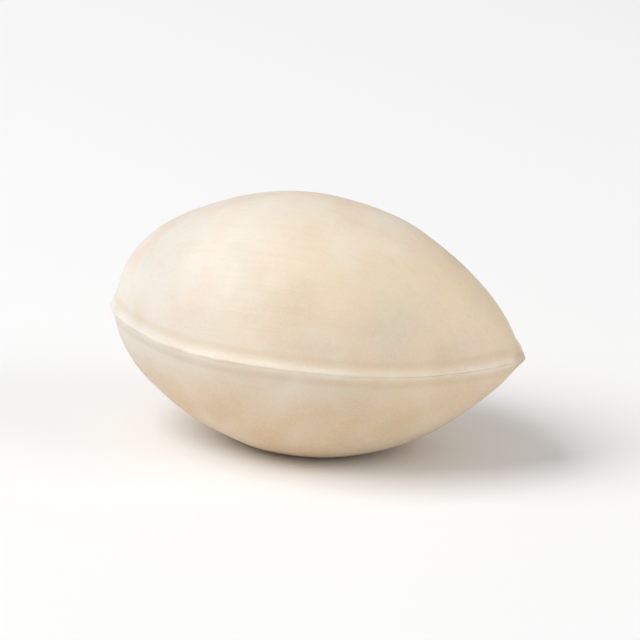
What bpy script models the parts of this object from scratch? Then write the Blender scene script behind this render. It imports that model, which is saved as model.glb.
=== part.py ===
# A ginkgo nut in its shell, lying on one of its two broad faces.
#
# The shell is one piece. It is a pointed oval, a little flatter than it is wide. A keel runs round its
# edge from the base to the tip. The tip ends in a tiny point, and the base in a small scar. The shape
# starts as a cube cut into a grid and blown up to a sphere, so that a row of points runs along each
# keel and the two ends have no crowded points. The rules below then move each point to its place.
#
# Metres, +Z up. The origin is under the middle of the nut, on the surface that it lies on. +X runs to
# the tip, and the keels lie at +Y and -Y.

import math

import bmesh
import bpy
from mathutils import Matrix, Vector, noise

MM = 0.001

# The body before its ends are shaped
BODY_LENGTH = 26.0 * MM
WIDTH = 16.9 * MM
UPPER_THICKNESS = 7.7 * MM
LOWER_THICKNESS = 7.4 * MM

# How fast the body narrows to its ends. A power of 1 makes an ellipse, and 2 makes a straight taper.
BASE_PLAN_POWER = 1.26
TIP_PLAN_POWER = 1.52
BASE_SIDE_POWER = 1.34
TIP_SIDE_POWER = 1.60

# Each face is a blend of an even arch and a flatter one that drops faster to the keel. The nut lies on
# the face that has more of the flatter one.
FLAT_ARCH_POWER = 5.0
UPPER_FLAT_SHARE = 0.28
LOWER_FLAT_SHARE = 0.58
END_FLAT_SHARE = 0.15

# The keel is a low rounded rib where the two faces meet.
KEEL_HEIGHT_AT_BASE = 0.06 * MM
KEEL_HEIGHT_AT_TIP = 0.18 * MM
KEEL_HALF_WIDTH = 0.40 * MM

# The point at the tip
POINT_HEIGHT = 0.20 * MM
POINT_RADIUS = 0.55 * MM

# The base is blunt, and has a shallow oval scar with a raised rim.
BLUNT_DEPTH = 0.85 * MM
BLUNT_RADIUS = 2.50 * MM
SCAR_HALF_WIDTH = 1.35 * MM
SCAR_HALF_HEIGHT = 1.00 * MM
SCAR_DEPTH = 0.20 * MM
SCAR_RIM_HEIGHT = 0.10 * MM
SCAR_RIM_SHARE = 0.28

# No nut is quite even: it bends sideways, twists, bulges here and there, and its keels wander.
SIDE_BEND = 0.30 * MM
TWIST = math.radians(3.0)
KEEL_WANDER = 0.32 * MM
BULGE_HEIGHT = 0.16 * MM
BULGE_SPACING = 6.5 * MM

# Each keel rises and dips in its own slow wave from base to tip. The first angle is how far the wave
# runs over half the nut, and the second is where it is at the middle.
LEFT_KEEL_WAVE = (2.2, -0.9)
RIGHT_KEEL_WAVE = (2.6, 0.5)

# It lies with its tip a little low, so that its weight is over the small flat spot that it rests on.
# The flat takes this much off its lowest point.
TIP_DOWN = math.radians(1.5)
REST_FLAT_DEPTH = 0.33 * MM

# Squares along each edge of the cube. An even number puts a row of points on each keel.
SQUARES = 24

SHELL_COLOUR = (0.82, 0.71, 0.56, 1.0)
SHELL_ROUGHNESS = 0.45


def clear_scene():
    for obj in list(bpy.data.objects):
        bpy.data.objects.remove(obj)


def mix(low, high, share):
    return low + (high - low) * share


def ease(share):
    """A smooth step from 0 to 1."""
    return share * share * (3.0 - 2.0 * share)


def bump(distance, reach):
    """1 at no distance, and smoothly down to nothing a little past the reach."""
    return math.exp(-((distance / reach) ** 2))


def body_point(along, around):
    """A point of the smooth body.

    along runs from -1 at the base to 1 at the tip, and around is the angle from the keel at +Y.
    """
    girth = math.sqrt(max(0.0, 1.0 - along * along))
    tipward = ease((along + 1.0) / 2.0)
    across = abs(math.cos(around))
    thickness, flat_share = LOWER_THICKNESS, LOWER_FLAT_SHARE
    if around > 0.0:
        thickness, flat_share = UPPER_THICKNESS, UPPER_FLAT_SHARE
    arch = 1.0 - mix(across**2, across**FLAT_ARCH_POWER, mix(END_FLAT_SHARE, flat_share, girth))
    half_width = WIDTH / 2.0 * girth ** mix(BASE_PLAN_POWER, TIP_PLAN_POWER, tipward)
    half_thickness = thickness * girth ** mix(BASE_SIDE_POWER, TIP_SIDE_POWER, tipward)
    return Vector(
        (
            BODY_LENGTH / 2.0 * along,
            half_width * math.cos(around),
            math.copysign(half_thickness * arch, around),
        )
    )


def keel_rise(point, along):
    """How far the rib of the keel moves a point out, in the plane of the keels."""
    outward = Vector((point.x / BODY_LENGTH**2, point.y / WIDTH**2, 0.0))
    height = mix(KEEL_HEIGHT_AT_BASE, KEEL_HEIGHT_AT_TIP, ease((along + 1.0) / 2.0))
    return outward.normalized() * height * bump(point.z, KEEL_HALF_WIDTH)


def end_rise(point, along):
    """How far the point at the tip, or the blunt base and its scar, move a point along +X."""
    from_axis = math.hypot(point.y, point.z)
    if along > 0.0:
        return POINT_HEIGHT * bump(from_axis, POINT_RADIUS)
    blunt = BLUNT_DEPTH * bump(from_axis, BLUNT_RADIUS)
    in_scar = math.hypot(point.y / SCAR_HALF_WIDTH, point.z / SCAR_HALF_HEIGHT)
    hollow = SCAR_DEPTH * bump(in_scar, 1.0)
    rim = SCAR_RIM_HEIGHT * bump(in_scar - 1.0, SCAR_RIM_SHARE)
    return blunt + hollow - rim


def uneven(point, along):
    """The point after the bend and the twist of the nut and the wander of its keels."""
    at_edge = min(1.0, abs(point.y) / (WIDTH / 2.0)) ** 2
    turn, start = RIGHT_KEEL_WAVE if point.y < 0.0 else LEFT_KEEL_WAVE
    wander = KEEL_WANDER * math.sin(turn * along + start) * at_edge
    moved = Vector((0.0, SIDE_BEND * along**2, wander))
    return Matrix.Rotation(TWIST * along, 3, "X") @ (point + moved)


def shell_point(place):
    """Where a point of the unit sphere goes on the shell."""
    along = max(-1.0, min(1.0, place.x))
    around = math.atan2(place.z, place.y)
    point = body_point(along, around)
    point += keel_rise(point, along)
    point.x += end_rise(point, along)
    return uneven(point, along)


def make_round_cube(mesh):
    """A unit sphere from a cube, with its rows of points at even angles."""
    bmesh.ops.create_cube(mesh, size=2.0)
    bmesh.ops.subdivide_edges(mesh, edges=mesh.edges, cuts=SQUARES - 1, use_grid_fill=True)
    for vert in mesh.verts:
        angles = vert.co * (math.pi / 4.0)
        vert.co = Vector([math.tan(angle) for angle in angles]).normalized()


def add_bulges(mesh):
    """Moves the surface a little out and in, by smooth noise."""
    mesh.normal_update()
    for vert in mesh.verts:
        vert.co += vert.normal * BULGE_HEIGHT * noise.noise(vert.co / BULGE_SPACING)


def set_down(mesh):
    """Puts the nut over the origin, on a small flat spot."""
    bmesh.ops.rotate(mesh, verts=mesh.verts, matrix=Matrix.Rotation(TIP_DOWN, 3, "Y"))
    lowest = min(vert.co.z for vert in mesh.verts) + REST_FLAT_DEPTH
    for vert in mesh.verts:
        vert.co.z = max(vert.co.z, lowest)
    middle = [
        (min(vert.co[axis] for vert in mesh.verts) + max(vert.co[axis] for vert in mesh.verts)) / 2.0
        for axis in (0, 1)
    ]
    bmesh.ops.translate(mesh, verts=mesh.verts, vec=(-middle[0], -middle[1], -lowest))


def shell_material():
    material = bpy.data.materials.new("shell")
    material.use_nodes = True
    shader = material.node_tree.nodes["Principled BSDF"]
    shader.inputs["Base Color"].default_value = SHELL_COLOUR
    shader.inputs["Roughness"].default_value = SHELL_ROUGHNESS
    shader.inputs["Metallic"].default_value = 0.0
    return material


def add_nut(collection):
    mesh = bmesh.new()
    make_round_cube(mesh)
    for vert in mesh.verts:
        vert.co = shell_point(vert.co)
    add_bulges(mesh)
    set_down(mesh)
    data = bpy.data.meshes.new("ginkgo_nut")
    mesh.to_mesh(data)
    mesh.free()
    data.shade_smooth()
    data.materials.append(shell_material())
    nut = bpy.data.objects.new("ginkgo_nut", data)
    collection.objects.link(nut)
    return nut


def main():
    clear_scene()
    collection = bpy.data.collections.new("ginkgo nut")
    bpy.context.scene.collection.children.link(collection)
    add_nut(collection)


main()
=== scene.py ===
# %% [markdown]
# A ginkgo nut in its shell
#
# The nut is one thin, hard, cream shell: a pointed oval with a keel round its edge, a nib at the tip
# and a small scar at the base, where the stalk held it. A scene could start from nothing. This one
# starts from the measured model, so that the finer nut made below has the model's size and place.

# %% Load the measured model
import math

import bmesh
import bpy
from mathutils import Matrix, Vector, noise


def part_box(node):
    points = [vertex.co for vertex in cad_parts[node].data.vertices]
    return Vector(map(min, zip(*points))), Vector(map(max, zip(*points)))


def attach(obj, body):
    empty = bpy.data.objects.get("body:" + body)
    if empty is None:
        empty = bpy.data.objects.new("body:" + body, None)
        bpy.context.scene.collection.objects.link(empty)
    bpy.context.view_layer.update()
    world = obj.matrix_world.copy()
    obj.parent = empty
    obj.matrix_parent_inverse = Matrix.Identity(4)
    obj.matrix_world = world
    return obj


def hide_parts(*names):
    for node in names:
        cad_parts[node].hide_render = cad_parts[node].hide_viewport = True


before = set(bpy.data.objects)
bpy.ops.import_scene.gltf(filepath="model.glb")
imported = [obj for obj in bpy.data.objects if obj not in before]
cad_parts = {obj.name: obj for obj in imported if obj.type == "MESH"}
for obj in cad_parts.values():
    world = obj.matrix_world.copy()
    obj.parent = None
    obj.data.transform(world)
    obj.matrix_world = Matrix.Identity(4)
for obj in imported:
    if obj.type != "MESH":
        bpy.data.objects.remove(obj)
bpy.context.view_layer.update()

MM = 0.001
nut_low, nut_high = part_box("ginkgo_nut")
LENGTH, WIDTH, THICKNESS = nut_high - nut_low
print(f"The nut is {LENGTH / MM:.2f} x {WIDTH / MM:.2f} x {THICKNESS / MM:.2f} mm")

# %% [markdown]
# A ball without poles
#
# A shell like this could start as a UV sphere, but that crowds its points at two poles, which would
# pinch the tip and the base. An icosphere has no poles, but also no row of points for the keel to
# follow. A cube that is cut into a grid and blown up to a ball has neither fault. An even number of
# squares puts a row of points exactly on each keel.

# %% Blow a cube up to a ball
SQUARES = 120


def make_ball(squares):
    """A ball of radius 1 from a cube, with its rows of points at even angles."""
    ball = bmesh.new()
    bmesh.ops.create_cube(ball, size=2.0)
    bmesh.ops.subdivide_edges(ball, edges=ball.edges, cuts=squares - 1, use_grid_fill=True)
    for vert in ball.verts:
        vert.co = Vector([math.tan(part * math.pi / 4.0) for part in vert.co]).normalized()
    return ball


shell = make_ball(SQUARES)
print(f"The ball has {len(shell.faces)} squares")

# %% [markdown]
# The body
#
# The real nut narrows faster to the tip than to the base, and the face that it lies on is the flatter
# one. It could be sculpted by hand. A rule for each point is chosen here, because every form is then
# one named value that can be changed and tried again.
#
# Each point of the ball has a place along the nut, from -1 at the base to 1 at the tip, and an angle
# around it. Powers above 1 draw the round ends out to points.

# %% Shape the body
# The body starts a little longer than the nut, because the blunt base is pushed in later, and a little
# narrower, because the keel adds to it.
BODY_LENGTH = 1.020 * LENGTH
BODY_WIDTH = 0.982 * WIDTH

# How far each face stands out from the seam
UPPER_THICKNESS = 0.520 * THICKNESS
LOWER_THICKNESS = 0.500 * THICKNESS

# How fast the body narrows to its ends, seen from above and from the side
BASE_PLAN_POWER = 1.26
TIP_PLAN_POWER = 1.52
BASE_SIDE_POWER = 1.34
TIP_SIDE_POWER = 1.60

# Each face blends an even arch with a flatter one that drops faster to the seam. The face that the nut
# lies on has the larger share of the flatter one, and the two ends have the smallest.
FLAT_ARCH_POWER = 5.0
UPPER_FLAT_SHARE = 0.28
LOWER_FLAT_SHARE = 0.58
END_FLAT_SHARE = 0.15


def mix(low, high, share):
    return low + (high - low) * share


def ease(share):
    """A smooth step from 0 to 1."""
    return share * share * (3.0 - 2.0 * share)


def body_point(along, around):
    """A point of the smooth body, from its place along the nut and its angle around it."""
    girth = math.sqrt(max(0.0, 1.0 - along * along))
    tipward = ease((along + 1.0) / 2.0)
    across = abs(math.cos(around))
    thickness, flat_share = LOWER_THICKNESS, LOWER_FLAT_SHARE
    if around > 0.0:
        thickness, flat_share = UPPER_THICKNESS, UPPER_FLAT_SHARE
    arch = 1.0 - mix(across**2, across**FLAT_ARCH_POWER, mix(END_FLAT_SHARE, flat_share, girth))
    half_width = BODY_WIDTH / 2.0 * girth ** mix(BASE_PLAN_POWER, TIP_PLAN_POWER, tipward)
    half_thickness = thickness * girth ** mix(BASE_SIDE_POWER, TIP_SIDE_POWER, tipward)
    return Vector(
        (
            BODY_LENGTH / 2.0 * along,
            half_width * math.cos(around),
            math.copysign(half_thickness * arch, around),
        )
    )


along_layer = shell.verts.layers.float.new("along")
for vert in shell.verts:
    vert[along_layer] = max(-1.0, min(1.0, vert.co.x))
    vert.co = body_point(vert[along_layer], math.atan2(vert.co.z, vert.co.y))
print(f"The body holds {shell.calc_volume() / MM**3:.0f} cubic millimetres")

# %% [markdown]
# The keel
#
# The shell is two halves grown together, and the seam stands up round the edge as a low rib, sharper
# towards the tip. Each side of it has a faint hollow, which fades out to the two ends. A rib could be
# extruded from the edge, but it would need its ends faded out by hand. Moving the points near the edge
# by a bell curve fades it everywhere at once. Noise makes the rib's height uneven, like small nicks.
#
# Each point also keeps its distance from the seam in millimetres, as an attribute. The skin uses it
# later, so that the colour follows the seam however it wanders.

# %% Raise the keel
KEEL_HEIGHT_AT_BASE = 0.07 * MM
KEEL_HEIGHT_AT_TIP = 0.15 * MM
KEEL_HALF_WIDTH = 0.27 * MM
HOLLOW_DEPTH = 0.035 * MM
HOLLOW_FROM_SEAM = 0.80 * MM
HOLLOW_HALF_WIDTH = 0.50 * MM
NICK_DEPTH = 0.035 * MM
NICK_SPACING = 1.7 * MM


def bump(distance, reach):
    """1 at no distance, and smoothly down to nothing a little past the reach."""
    return math.exp(-((distance / reach) ** 2))


def keel_rise(point, along):
    """How far the seam's rib and the hollows beside it move a point, in the plane of the seam."""
    outward = Vector((point.x / LENGTH**2, point.y / WIDTH**2, 0.0)).normalized()
    height = mix(KEEL_HEIGHT_AT_BASE, KEEL_HEIGHT_AT_TIP, ease((along + 1.0) / 2.0))
    height += NICK_DEPTH * noise.noise(point / NICK_SPACING)
    rib = height * bump(point.z, KEEL_HALF_WIDTH)
    hollow = HOLLOW_DEPTH * bump(abs(point.z) - HOLLOW_FROM_SEAM, HOLLOW_HALF_WIDTH)
    fade = math.sqrt(1.0 - along**2)
    return outward * (rib - hollow * fade)


seam_layer = shell.verts.layers.float.new("from_seam")
for vert in shell.verts:
    vert[seam_layer] = vert.co.z / MM
    vert.co += keel_rise(vert.co, vert[along_layer])
rib_points = [vert for vert in shell.verts if abs(vert[seam_layer]) < KEEL_HALF_WIDTH / MM]
print(f"{len(rib_points)} points make the rib")

# %% [markdown]
# The tip and the base
#
# The tip ends in a tiny nib with a dimple on its end. The base is blunt, and has the oval scar of the
# stalk: a shallow dish with a raised rim and two unlike pin pricks, where the threads that fed the seed
# went in. They could be separate pieces, but the real shell is whole, so they are moved out of it.

# %% Shape the tip and the base
NIB_HEIGHT = 0.13 * MM
NIB_RADIUS = 0.60 * MM
NIB_DIMPLE_DEPTH = 0.06 * MM
NIB_DIMPLE_RADIUS = 0.16 * MM

BLUNT_DEPTH = 0.85 * MM
BLUNT_RADIUS = 2.50 * MM
SCAR_HALF_WIDTH = 1.35 * MM
SCAR_HALF_HEIGHT = 1.00 * MM
SCAR_DEPTH = 0.28 * MM
SCAR_RIM_HEIGHT = 0.15 * MM
SCAR_RIM_SHARE = 0.22

# Each prick has a place across the scar and up from its middle.
PRICK_DEPTH = 0.22 * MM
PRICK_RADIUS = 0.16 * MM
LEFT_PRICK = (0.38 * MM, 0.10 * MM)
RIGHT_PRICK = (-0.56 * MM, -0.08 * MM)


def tip_rise(point):
    """How far a point of the tip moves along +X, which is outwards there."""
    from_axis = math.hypot(point.y, point.z)
    dimple = NIB_DIMPLE_DEPTH * bump(from_axis, NIB_DIMPLE_RADIUS)
    return NIB_HEIGHT * bump(from_axis, NIB_RADIUS) - dimple


def base_rise(point):
    """How far a point of the base moves along +X, which is inwards there."""
    blunt = BLUNT_DEPTH * bump(math.hypot(point.y, point.z), BLUNT_RADIUS)
    in_scar = math.hypot(point.y / SCAR_HALF_WIDTH, point.z / SCAR_HALF_HEIGHT)
    dish = SCAR_DEPTH * bump(in_scar, 1.0)
    rim = SCAR_RIM_HEIGHT * bump(in_scar - 1.0, SCAR_RIM_SHARE)
    for across, up in (LEFT_PRICK, RIGHT_PRICK):
        dish += PRICK_DEPTH * bump(math.hypot(point.y - across, point.z - up), PRICK_RADIUS)
    return blunt + dish - rim


for vert in shell.verts:
    vert.co.x += tip_rise(vert.co) if vert[along_layer] > 0.0 else base_rise(vert.co)
longest = max(vert.co.x for vert in shell.verts) - min(vert.co.x for vert in shell.verts)
print(f"From scar to nib the shell is {longest / MM:.2f} mm")

# %% [markdown]
# Growth
#
# No nut is even. This one bends a little, twists a little from end to end, and its seams wander up and
# down. Its faces bulge and dip by a tenth of a millimetre or two, which breaks up the highlights. Hand
# sculpting would do, but smooth noise gives the same unevenness on each run.

# %% Make it uneven
SIDE_BEND = 0.30 * MM
TWIST = math.radians(3.0)
SEAM_WANDER = 0.32 * MM
BULGE_HEIGHT = 0.16 * MM
BULGE_SPACING = 6.5 * MM
DIP_HEIGHT = 0.070 * MM
DIP_SPACING = 3.2 * MM

# Each seam wanders in its own slow wave. The first angle is how far the wave runs over half the nut,
# and the second is where it is at the middle.
LEFT_SEAM_WAVE = (2.2, -0.9)
RIGHT_SEAM_WAVE = (2.6, 0.5)


def uneven(point, along):
    """The point after the bend and the twist of the nut and the wander of its seams."""
    at_edge = min(1.0, abs(point.y) / (BODY_WIDTH / 2.0)) ** 2
    turn, start = RIGHT_SEAM_WAVE if point.y < 0.0 else LEFT_SEAM_WAVE
    wander = SEAM_WANDER * math.sin(turn * along + start) * at_edge
    moved = Vector((0.0, SIDE_BEND * along**2, wander))
    return Matrix.Rotation(TWIST * along, 3, "X") @ (point + moved)


for vert in shell.verts:
    vert.co = uneven(vert.co, vert[along_layer])

shell.normal_update()
for vert in shell.verts:
    bulge = BULGE_HEIGHT * noise.noise(vert.co / BULGE_SPACING)
    dip = DIP_HEIGHT * noise.noise(vert.co / DIP_SPACING)
    vert.co += vert.normal * (bulge + dip)
print(f"The faces bulge by up to {BULGE_HEIGHT / MM:.2f} mm")

# %% [markdown]
# Fine relief
#
# Close up, the shell has low wrinkles that run from base to tip, and shallow pits from the flesh that
# covered it. Both are deep enough to catch the light, so they are in the mesh. Only what is finer than
# a tenth of a millimetre is left to the material. Noise that is stretched along the nut makes the
# wrinkles, and the distance to scattered points makes the pits.

# %% Wrinkle and pit the surface
WRINKLE_HEIGHT = 0.010 * MM
WRINKLE_SPACING = 0.8 * MM
WRINKLE_LENGTH = 12.0 * MM
PIT_SPACING = 1.9 * MM
PIT_RADIUS = 0.24 * MM

# Each pit's depth comes from noise at its centre, which changes over this length. About half of the
# scattered points get no pit.
PIT_DEPTH = 0.11 * MM
PIT_CHANGE = 0.4 * MM


def wrinkle(point):
    """How far the wrinkles raise a point."""
    stretched = Vector((point.x / WRINKLE_LENGTH, point.y / WRINKLE_SPACING, point.z / WRINKLE_SPACING))
    return WRINKLE_HEIGHT * noise.noise(stretched)


def pit(point):
    """How deep a point lies in the nearest pit."""
    distances, centres = noise.voronoi(point / PIT_SPACING)
    depth = PIT_DEPTH * max(0.0, noise.noise(centres[0] * PIT_SPACING / PIT_CHANGE))
    return depth * bump(distances[0] * PIT_SPACING, PIT_RADIUS)


shell.normal_update()
for vert in shell.verts:
    vert.co += vert.normal * (wrinkle(vert.co) - pit(vert.co))
print(f"The wrinkles are about {WRINKLE_SPACING / MM:.1f} mm apart")

# %% [markdown]
# Laying it down
#
# The nut lies on its flatter face with the tip a little low, on the same small flat spot as the
# measured model. A hard cut would leave an edge round that spot, so the lowest points are eased up to
# the floor. Then the shell is scaled by a hair, so that its box is exactly the model's.

# %% Lay it in its place
TIP_DOWN = math.radians(1.5)
FLAT_DEPTH = 0.33 * MM
FLAT_EASE = 0.03 * MM


def above(height, floor):
    """The larger of the two heights, with a soft bend between them."""
    gap = height - floor
    return floor + (gap + math.sqrt(gap * gap + FLAT_EASE * FLAT_EASE)) / 2.0


def box_of(mesh):
    """The lowest and the highest corner of a bmesh."""
    rows = list(zip(*(vert.co for vert in mesh.verts)))
    return Vector([min(row) for row in rows]), Vector([max(row) for row in rows])


bmesh.ops.rotate(shell, verts=shell.verts, matrix=Matrix.Rotation(TIP_DOWN, 3, "Y"))
floor_height = box_of(shell)[0].z + FLAT_DEPTH
for vert in shell.verts:
    vert.co.z = above(vert.co.z, floor_height)

low, high = box_of(shell)
fit = [(nut_high[axis] - nut_low[axis]) / (high[axis] - low[axis]) for axis in range(3)]
bmesh.ops.translate(shell, verts=shell.verts, vec=-low)
bmesh.ops.scale(shell, verts=shell.verts, vec=fit)
bmesh.ops.translate(shell, verts=shell.verts, vec=nut_low)
print("The shell was scaled by", [round(share, 4) for share in fit])

# %% [markdown]
# The piece
#
# The finished mesh goes into one object, which stands for the model's own nut and rides on its body.
# Smooth shading rounds the squares off, and the relief still shows, because it is in the mesh.

# %% Make the piece
shell_mesh = bpy.data.meshes.new("nut_shell")
shell.to_mesh(shell_mesh)
shell.free()
shell_mesh.shade_smooth()

nut = bpy.data.objects.new("nut_shell", shell_mesh)
bpy.context.scene.collection.objects.link(nut)
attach(nut, "root")
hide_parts("ginkgo_nut")
print(f"The piece has {2 * len(shell_mesh.polygons)} triangles")

# %% [markdown]
# Tools for the skin
#
# The shell's colour is many faint layers, and each is a mask that says where it lies. These helpers
# make the masks from noise and from what each point of the mesh carries. The noise reads Object
# coordinates, which are in metres, so each pattern is given by its real size. A shift takes each
# pattern from another part of the noise, so that no two patterns match.

# %% Helpers for masks and layers
def add_noise(tree, size, stretch=1.0, detail=3.0, shift=0.0):
    """Noise from 0 to 1 with spots of about this size in metres, drawn out along the nut."""
    coordinates = tree.nodes.new("ShaderNodeTexCoord")
    mapping = tree.nodes.new("ShaderNodeMapping")
    mapping.inputs["Location"].default_value = (shift, shift, shift)
    mapping.inputs["Scale"].default_value = (1.0 / (size * stretch), 1.0 / size, 1.0 / size)
    texture = tree.nodes.new("ShaderNodeTexNoise")
    texture.inputs["Scale"].default_value = 1.0
    texture.inputs["Detail"].default_value = detail
    tree.links.new(coordinates.outputs["Object"], mapping.inputs["Vector"])
    tree.links.new(mapping.outputs["Vector"], texture.inputs["Vector"])
    return texture.outputs["Fac"]


def add_range(tree, value, start, stop, first=0.0, last=1.0):
    """Takes a value that goes from start to stop smoothly from first to last."""
    node = tree.nodes.new("ShaderNodeMapRange")
    node.interpolation_type = "SMOOTHSTEP"
    for name, number in (("From Min", start), ("From Max", stop), ("To Min", first), ("To Max", last)):
        node.inputs[name].default_value = number
    tree.links.new(value, node.inputs["Value"])
    return node.outputs["Result"]


def add_math(tree, operation, first, second=0.0):
    """One Math node. Either side is a socket or a plain number."""
    node = tree.nodes.new("ShaderNodeMath")
    node.operation = operation
    for socket, value in zip(node.inputs, (first, second)):
        if isinstance(value, bpy.types.NodeSocket):
            tree.links.new(value, socket)
        else:
            socket.default_value = value
    return node.outputs["Value"]


def add_layer(tree, under, colour, mask):
    """Lays a colour over the one under it, where the mask is above 0."""
    node = tree.nodes.new("ShaderNodeMix")
    node.data_type = "RGBA"
    node.inputs["B"].default_value = colour
    if isinstance(under, bpy.types.NodeSocket):
        tree.links.new(under, node.inputs["A"])
    else:
        node.inputs["A"].default_value = under
    tree.links.new(mask, node.inputs["Factor"])
    return node.outputs["Result"]


skin = bpy.data.materials.new("shell_skin")
skin.use_nodes = True
tree = skin.node_tree
shader = tree.nodes["Principled BSDF"]
print("The skin starts with", len(tree.nodes), "nodes")

# %% [markdown]
# The colour of a dry shell
#
# A cleaned nut is a warm cream, but not the same cream all over: it is more of a peach towards the
# tip. Towards the base it turns a chalkier, more neutral cream, which is partly its own tone and partly
# a painted highlight of the soft light from the left. One colour ramp along the nut could hold that.
# Two layers are used instead, so that each has its own reach and strength. They read the place along
# the nut that each point has carried since the ball was shaped, so they bend and twist with the shell.

# %% Cream, with chalk and a painted highlight at the base, and peach at the tip
CREAM = (0.805, 0.675, 0.505, 1.0)
# Partly the shell's own chalky tone and partly a painted highlight on the base
CHALK_AND_HIGHLIGHT = (0.785, 0.762, 0.715, 1.0)
PEACH = (0.885, 0.705, 0.475, 1.0)

# Where each shade starts and where it is full, from -1 at the base to 1 at the tip
CHALK_AND_HIGHLIGHT_REACH = (0.20, -0.80)
CHALK_AND_HIGHLIGHT_STRENGTH = 0.85
PEACH_REACH = (-0.20, 0.90)
PEACH_STRENGTH = 0.80


def add_attribute(tree, name):
    """The number that each point of the mesh carries under this name."""
    node = tree.nodes.new("ShaderNodeAttribute")
    node.attribute_name = name
    return node.outputs["Fac"]


along = add_attribute(tree, "along")
colour = add_layer(tree, CREAM, CHALK_AND_HIGHLIGHT, add_range(tree, along, *CHALK_AND_HIGHLIGHT_REACH, 0.0, CHALK_AND_HIGHLIGHT_STRENGTH))
colour = add_layer(tree, colour, PEACH, add_range(tree, along, *PEACH_REACH, 0.0, PEACH_STRENGTH))
print(f"The chalk is at most {CHALK_AND_HIGHLIGHT_STRENGTH:.2f} strong, and the peach {PEACH_STRENGTH:.2f}")

# %% [markdown]
# Soft patches
#
# The shell is paler where it was rubbed, and has soft patches of tan and pink that are some
# millimetres wide. Patches of grey-green are a painted reflection of green surroundings. The side that
# it lies on is a deeper, blotchy tan, which is painted shade. A painted image could hold all this, but
# noise has no seams and needs no unwrapping. Each layer is faint, and together they look grown.

# %% Pale, tan and pink patches, painted green reflections, and painted shade of tan below
PALE = (0.845, 0.785, 0.685, 1.0)
TAN = (0.720, 0.560, 0.380, 1.0)
PINK = (0.830, 0.650, 0.530, 1.0)
# A painted reflection of green surroundings, in scattered patches
GREEN_REFLECTION = (0.700, 0.650, 0.500, 1.0)
# The painted shade on the lower face, darker and warmer below the seam
PAINTED_SHADE_TAN = (0.680, 0.445, 0.215, 1.0)

# Each row has a colour, the size of its patches, the shift of their noise, the noise where they start
# and where they are full, and how strong they are there.
PATCHES = (
    (PALE, 6.5 * MM, 0.0, 0.42, 0.68, 0.75),
    (TAN, 5.0 * MM, 11.0, 0.48, 0.74, 0.60),
    (PINK, 3.6 * MM, 23.0, 0.46, 0.74, 0.65),
    # The painted green reflection
    (GREEN_REFLECTION, 4.4 * MM, 37.0, 0.52, 0.76, 0.65),
)

# The painted shade of tan starts this many millimetres above the seam, and is full this many below
# it. The blotches leave at least this share of it.
PAINTED_SHADE_REACH = (0.30, -4.20)
PAINTED_SHADE_STRENGTH = 0.66
BLOTCH_SIZE = 4.2 * MM
BLOTCH_NOISE = (0.36, 0.60)
BLOTCH_LEAST = 0.55

for patch_colour, size, shift, start, full, strength in PATCHES:
    patches = add_range(tree, add_noise(tree, size, shift=shift), start, full, 0.0, strength)
    colour = add_layer(tree, colour, patch_colour, patches)

from_seam = add_attribute(tree, "from_seam")
# Painted shade: the lower face turns a blotchy warm tan below the seam
painted_shade_below = add_range(tree, from_seam, *PAINTED_SHADE_REACH, 0.0, PAINTED_SHADE_STRENGTH)
blotches = add_range(tree, add_noise(tree, BLOTCH_SIZE, shift=83.0), *BLOTCH_NOISE, BLOTCH_LEAST, 1.0)
colour = add_layer(tree, colour, PAINTED_SHADE_TAN, add_math(tree, "MULTIPLY", painted_shade_below, blotches))
print(f"{len(PATCHES)} kinds of patch lie on the cream, and a tan that deepens downwards")

# %% [markdown]
# Fibres, grain and specks
#
# The shell is wood, so faint fibres run from base to tip, and a fine grain covers everything. Stretched
# noise makes the fibres. They darken the colour a little here, and the bump map uses them again below.
#
# Most nuts have a few dark specks. They could be placed one by one. A Voronoi texture scatters them
# instead: it cuts the shell into cells, each with a centre and a colour of its own. The distance to
# the centre makes a speck round, and the colour picks the few cells that have one.

# %% Add fibres, grain and specks
FIBRE = (0.640, 0.500, 0.340, 1.0)
FIBRE_WIDTH = 0.30 * MM
FIBRE_STRETCH = 30.0
FIBRE_NOISE = (0.45, 0.80)
FIBRE_STRENGTH = 0.12

GRAIN = (0.900, 0.850, 0.760, 1.0)
GRAIN_SIZE = 0.16 * MM
GRAIN_NOISE = (0.40, 0.75)
GRAIN_STRENGTH = 0.16

# A speck is full within the core's share of its radius. The softness keeps the choice of cells from
# being all or nothing, so that some specks are paler.
SPECK = (0.330, 0.200, 0.100, 1.0)
SPECK_SPACING = 4.6 * MM
SPECK_RADIUS = 0.24 * MM
SPECK_CORE = 0.45
SPECK_SHARE = 0.25
PICK_SOFTNESS = 0.05

fibres = add_noise(tree, FIBRE_WIDTH, stretch=FIBRE_STRETCH, shift=5.0)
grain = add_noise(tree, GRAIN_SIZE, detail=2.0, shift=3.0)
colour = add_layer(tree, colour, FIBRE, add_range(tree, fibres, *FIBRE_NOISE, 0.0, FIBRE_STRENGTH))
colour = add_layer(tree, colour, GRAIN, add_range(tree, grain, *GRAIN_NOISE, 0.0, GRAIN_STRENGTH))


def add_specks(tree, spacing, radius, share):
    """A mask of small round specks. Only this share of the scattered points has one."""
    coordinates = tree.nodes.new("ShaderNodeTexCoord")
    texture = tree.nodes.new("ShaderNodeTexVoronoi")
    texture.inputs["Scale"].default_value = 1.0 / spacing
    tree.links.new(coordinates.outputs["Object"], texture.inputs["Vector"])
    reach = radius / spacing
    near = add_range(tree, texture.outputs["Distance"], reach, reach * SPECK_CORE)
    cell_colour = tree.nodes.new("ShaderNodeSeparateColor")
    tree.links.new(texture.outputs["Color"], cell_colour.inputs["Color"])
    least = 1.0 - share
    picked = add_range(tree, cell_colour.outputs["Red"], least, least + PICK_SOFTNESS)
    return add_math(tree, "MULTIPLY", near, picked)


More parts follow.
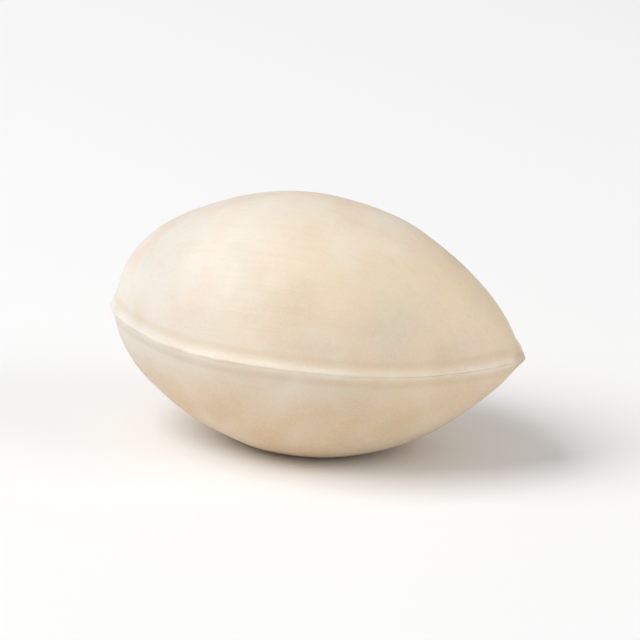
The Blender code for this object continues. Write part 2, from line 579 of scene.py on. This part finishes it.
specks = add_specks(tree, SPECK_SPACING, SPECK_RADIUS, SPECK_SHARE)
colour = add_layer(tree, colour, SPECK, specks)
print(f"The fibres are about {FIBRE_WIDTH / MM:.1f} mm wide")
print(f"The specks are up to {2 * SPECK_RADIUS / MM:.1f} mm across")

# %% [markdown]
# The colour of the seam
#
# The rib of the seam is pale here and there, partly from handling wear and partly as a painted
# highlight along its crest. The hollow on each side gets a warm tone, which is painted shade. A line
# as thin as a hair comes and goes along the crest, where the two halves meet. Wear is often found from
# how sharply a surface bends. The seam attribute shows where the rib is more simply, and marks
# nothing else by mistake.

# %% Colour the seam, with a painted highlight on the rib and painted shade beside it
# Partly wear and partly a painted highlight on the crest of the rib
RIB_WEAR_AND_HIGHLIGHT = (0.880, 0.810, 0.700, 1.0)
# The hair line along the crest, and the warm painted shade in the hollows beside the rib
SEAM_LINE_AND_SHADE = (0.660, 0.490, 0.310, 1.0)

# How many millimetres from the seam each one starts, and where it is full
RIB_REACH = (0.38, 0.10)
LINE_REACH = (0.075, 0.025)

# The warm painted shade in each hollow is strongest this far from the seam, and fades out over this
# many millimetres.
HOLLOW_SHADE_FROM_SEAM = 0.62
HOLLOW_SHADE_REACH = 0.36
HOLLOW_SHADE_STRENGTH = 0.26

# The wear and painted highlight on the rib, and the line, have their first strength where the noise
# is low, and their second where it is high.
WEAR_AND_HIGHLIGHT_SIZE = 2.6 * MM
WEAR_AND_HIGHLIGHT_NOISE = (0.32, 0.62)
WEAR_AND_HIGHLIGHT_STRENGTHS = (0.20, 0.68)
LINE_SIZE = 1.6 * MM
LINE_NOISE = (0.40, 0.60)
LINE_STRENGTHS = (0.08, 0.42)

seam_distance = add_math(tree, "ABSOLUTE", from_seam)
from_hollow_shade = add_math(tree, "ABSOLUTE", add_math(tree, "SUBTRACT", seam_distance, HOLLOW_SHADE_FROM_SEAM))
painted_shade_beside_rib = add_range(tree, from_hollow_shade, HOLLOW_SHADE_REACH, 0.0, 0.0, HOLLOW_SHADE_STRENGTH)
worn_and_lit = add_range(tree, add_noise(tree, WEAR_AND_HIGHLIGHT_SIZE, shift=61.0), *WEAR_AND_HIGHLIGHT_NOISE, *WEAR_AND_HIGHLIGHT_STRENGTHS)
on_rib = add_math(tree, "MULTIPLY", add_range(tree, seam_distance, *RIB_REACH), worn_and_lit)
shown = add_range(tree, add_noise(tree, LINE_SIZE, shift=71.0), *LINE_NOISE, *LINE_STRENGTHS)
on_line = add_math(tree, "MULTIPLY", add_range(tree, seam_distance, *LINE_REACH), shown)

# Painted shade in the hollow on each side of the rib
colour = add_layer(tree, colour, SEAM_LINE_AND_SHADE, painted_shade_beside_rib)
# The rib, pale from wear and from a painted highlight
colour = add_layer(tree, colour, RIB_WEAR_AND_HIGHLIGHT, on_rib)
# The hair line where the two halves meet
colour = add_layer(tree, colour, SEAM_LINE_AND_SHADE, on_line)
print(f"The line along the crest is about {2 * LINE_REACH[0]:.2f} mm wide")

# %% [markdown]
# The nib and the scar
#
# The nib and the scar are brown, because the flesh held on there longest. A round spot could be painted
# on each end. Here the distance to the end makes the mask, and noise is added to that distance, so that
# the brown has a ragged edge. The tip and the scar are the points that lie furthest along the nut.

# %% Colour the nib and the scar
END_BROWN = (0.420, 0.270, 0.140, 1.0)

# How far from each end the brown starts, and where it is full
NIB_REACH = (1.1 * MM, 0.1 * MM)
NIB_STRENGTH = 0.45
SCAR_REACH = (1.9 * MM, 0.5 * MM)
SCAR_STRENGTH = 0.72

# The noise moves the edge in and out, by up to half of this reach.
RAGGED_SIZE = 0.9 * MM
RAGGED_REACH = 1.2 * MM


def add_distance(tree, place):
    """How far each point of the surface is from a place, in metres."""
    coordinates = tree.nodes.new("ShaderNodeTexCoord")
    node = tree.nodes.new("ShaderNodeVectorMath")
    node.operation = "DISTANCE"
    node.inputs[1].default_value = place
    tree.links.new(coordinates.outputs["Object"], node.inputs[0])
    return node.outputs["Value"]


places_along = [item.value for item in shell_mesh.attributes["along"].data]
tip = shell_mesh.vertices[places_along.index(max(places_along))].co
scar = shell_mesh.vertices[places_along.index(min(places_along))].co
mottle = add_noise(tree, RAGGED_SIZE, shift=41.0)
ragged = add_math(tree, "MULTIPLY", add_math(tree, "SUBTRACT", mottle, 0.5), RAGGED_REACH)
from_tip = add_math(tree, "ADD", add_distance(tree, tip), ragged)
from_scar = add_math(tree, "ADD", add_distance(tree, scar), ragged)
at_nib = add_range(tree, from_tip, *NIB_REACH, 0.0, NIB_STRENGTH)
at_scar = add_range(tree, from_scar, *SCAR_REACH, 0.0, SCAR_STRENGTH)

colour = add_layer(tree, colour, END_BROWN, at_nib)
colour = add_layer(tree, colour, END_BROWN, at_scar)
tree.links.new(colour, shader.inputs["Base Color"])
print("The nib is at", [round(number / MM, 2) for number in tip], "mm")

# %% [markdown]
# Gloss and fine bumps
#
# The shell is smooth but not polished, so its highlights are broad and soft. It is duller where it is
# rough: on the nib and in the scar. The fibres and the grain also raise the surface by a few
# thousandths of a millimetre. That is too fine for the mesh, so a Bump node tilts the normals instead.
# A hard shell still lets a little light in, and a trace of subsurface keeps it from looking painted.

# %% Give it gloss and bumps
SHINE_ROUGHNESS = 0.40
DULL_ROUGHNESS = 0.58
SHINE_SIZE = 3.0 * MM
SHINE_NOISE = (0.30, 0.70)

# What the brown of each end adds to the roughness where it is full
SCAR_DULLER = 0.35
NIB_DULLER = 0.25

BUMP_HEIGHT = 0.015 * MM
GRAIN_BUMP_SHARE = 0.5

shine = add_noise(tree, SHINE_SIZE, shift=53.0)
roughness = add_range(tree, shine, *SHINE_NOISE, SHINE_ROUGHNESS, DULL_ROUGHNESS)
roughness = add_math(tree, "ADD", roughness, add_math(tree, "MULTIPLY", at_scar, SCAR_DULLER))
roughness = add_math(tree, "ADD", roughness, add_math(tree, "MULTIPLY", at_nib, NIB_DULLER))
tree.links.new(roughness, shader.inputs["Roughness"])

height = add_math(tree, "ADD", fibres, add_math(tree, "MULTIPLY", grain, GRAIN_BUMP_SHARE))
relief = tree.nodes.new("ShaderNodeBump")
relief.inputs["Distance"].default_value = BUMP_HEIGHT
tree.links.new(height, relief.inputs["Height"])
tree.links.new(relief.outputs["Normal"], shader.inputs["Normal"])

shader.inputs["IOR"].default_value = 1.50
shader.inputs["Subsurface Weight"].default_value = 0.12
shader.inputs["Subsurface Radius"].default_value = (1.0, 0.6, 0.35)
shader.inputs["Subsurface Scale"].default_value = 0.8 * MM
shell_mesh.materials.append(skin)
print("The skin now has", len(tree.nodes), "nodes")

# %% [markdown]
# Floor, light and camera
#
# The photograph was taken in bright, soft light on white: a large soft light from the left, a weaker
# one from the right, and light from all round. The camera looks down at a low angle, and the tip of
# the nut points right and a little towards it. Small hard lights would give sharp shadows. Big area
# lights and a white world give the same calm light, and a long lens keeps the shape undistorted.

# %% Set the stage
FLOOR_SIZE = 4.0
FLOOR_COLOUR = (0.94, 0.94, 0.94, 1.0)
FLOOR_ROUGHNESS = 0.9
WORLD_COLOUR = (1.0, 1.0, 1.0, 1.0)
WORLD_STRENGTH = 0.41
CAMERA_AZIMUTH = math.radians(25.0)
CAMERA_ELEVATION = math.radians(18.3)
CAMERA_DISTANCE = 0.40
FRAME_WIDTH = 37.0 * MM

floor_grid = bmesh.new()
bmesh.ops.create_grid(floor_grid, x_segments=1, y_segments=1, size=FLOOR_SIZE / 2.0)
floor_mesh = bpy.data.meshes.new("floor")
floor_grid.to_mesh(floor_mesh)
floor_grid.free()
floor = bpy.data.objects.new("floor", floor_mesh)
bpy.context.scene.collection.objects.link(floor)
paper = bpy.data.materials.new("floor_paper")
paper.use_nodes = True
paper_shader = paper.node_tree.nodes["Principled BSDF"]
paper_shader.inputs["Base Color"].default_value = FLOOR_COLOUR
paper_shader.inputs["Roughness"].default_value = FLOOR_ROUGHNESS
floor_mesh.materials.append(paper)

centre = (nut_low + nut_high) / 2.0
to_camera = Vector((math.sin(CAMERA_AZIMUTH), -math.cos(CAMERA_AZIMUTH), 0.0))
to_right = Vector((math.cos(CAMERA_AZIMUTH), math.sin(CAMERA_AZIMUTH), 0.0))
upwards = Vector((0.0, 0.0, 1.0))


def aim(thing, place):
    """Puts a light or a camera at a place and turns it to the nut."""
    thing.location = place
    thing.rotation_euler = (centre - place).to_track_quat("-Z", "Y").to_euler()


def add_soft_light(name, size, power, right, forward, up):
    """A square area light, placed as the camera sees it: to the right, towards it, and up."""
    light = bpy.data.lights.new(name, "AREA")
    light.size = size
    light.energy = power
    lamp = bpy.data.objects.new(name, light)
    bpy.context.scene.collection.objects.link(lamp)
    aim(lamp, centre + to_right * right + to_camera * forward + upwards * up)


add_soft_light("key_light", size=0.40, power=2.15, right=-0.32, forward=0.05, up=0.41)
add_soft_light("fill_light", size=0.30, power=0.60, right=0.42, forward=0.16, up=0.26)

world = bpy.data.worlds.new("studio")
world.use_nodes = True
sky = world.node_tree.nodes["Background"]
sky.inputs["Color"].default_value = WORLD_COLOUR
sky.inputs["Strength"].default_value = WORLD_STRENGTH
bpy.context.scene.world = world
bpy.context.scene.view_settings.view_transform = "Standard"

camera_data = bpy.data.cameras.new("camera")
camera_data.lens = camera_data.sensor_width * CAMERA_DISTANCE / FRAME_WIDTH
camera_data.clip_start = 0.01
camera = bpy.data.objects.new("camera", camera_data)
bpy.context.scene.collection.objects.link(camera)
back = to_camera * math.cos(CAMERA_ELEVATION) + upwards * math.sin(CAMERA_ELEVATION)
aim(camera, centre + back * CAMERA_DISTANCE)
bpy.context.scene.camera = camera
print(f"The lens is {camera_data.lens:.0f} mm")
